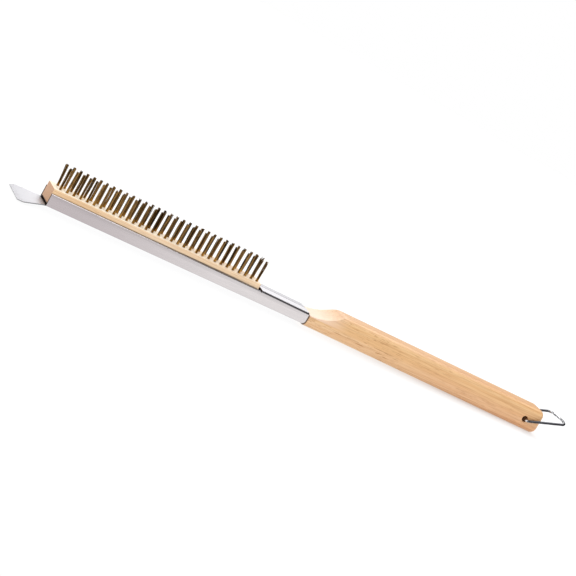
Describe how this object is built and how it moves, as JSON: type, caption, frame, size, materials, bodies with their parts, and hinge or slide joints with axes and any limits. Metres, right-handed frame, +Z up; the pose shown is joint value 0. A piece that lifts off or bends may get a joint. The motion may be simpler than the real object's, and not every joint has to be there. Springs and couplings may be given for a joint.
{
  "type": "grill cleaning brush",
  "caption": "Long-handled grill brush: two rows of brass wire tufts in a wooden block seated in a folded steel channel with a flared scraper, wooden handle and wire hang loop.",
  "frame": {"origin": "centre of the bounding box in X and Y, at its lowest point in Z", "axes": "+X from the scraper towards the hang loop along the channel, +Y across, +Z up, the way the bristles point"},
  "size_m": [0.6048, 0.0478, 0.0417],
  "materials": {
    "stainless_sheet": "brushed along its length",
    "block_wood": "bare beech, fine sanded",
    "handle_wood": "oiled beech, satin",
    "brass_wire": "drawn wire, slightly darkened",
    "plated_wire": "bright plated",
    "screw_steel": "zinc plated"
  },
  "bodies": {
    "brush": {"steel_channel_scraper": "stainless_sheet", "bristle_block": "block_wood", "handle": "handle_wood", "bristle_bundle_01": "brass_wire", "bristle_bundle_02": "brass_wire", "bristle_bundle_03": "brass_wire", "bristle_bundle_04": "brass_wire", "bristle_bundle_05": "brass_wire", "bristle_bundle_06": "brass_wire", "bristle_bundle_07": "brass_wire", "bristle_bundle_08": "brass_wire", "bristle_bundle_09": "brass_wire", "bristle_bundle_10": "brass_wire", "bristle_bundle_11": "brass_wire", "bristle_bundle_12": "brass_wire", "bristle_bundle_13": "brass_wire", "bristle_bundle_14": "brass_wire", "bristle_bundle_15": "brass_wire", "bristle_bundle_16": "brass_wire", "bristle_bundle_17": "brass_wire", "bristle_bundle_18": "brass_wire", "bristle_bundle_19": "brass_wire", "bristle_bundle_20": "brass_wire", "bristle_bundle_21": "brass_wire", "bristle_bundle_22": "brass_wire", "bristle_bundle_23": "brass_wire", "bristle_bundle_24": "brass_wire", "bristle_bundle_25": "brass_wire", "bristle_bundle_26": "brass_wire", "bristle_bundle_27": "brass_wire", "bristle_bundle_28": "brass_wire", "bristle_bundle_29": "brass_wire", "bristle_bundle_30": "brass_wire", "bristle_bundle_31": "brass_wire", "bristle_bundle_32": "brass_wire", "block_screw_1": "screw_steel", "block_screw_2": "screw_steel", "block_screw_3": "screw_steel", "handle_screw_1": "screw_steel", "handle_screw_2": "screw_steel"},
    "loop": {"hang_loop": "plated_wire"}
  },
  "joints": [
    {"name": "hang_loop_swing", "type": "hinge", "parent": "brush", "child": "loop", "pos_m": [0.25654, 0, 0.01054], "axis": [0, -1, 0], "range_deg": [-178, 139]}
  ]
}
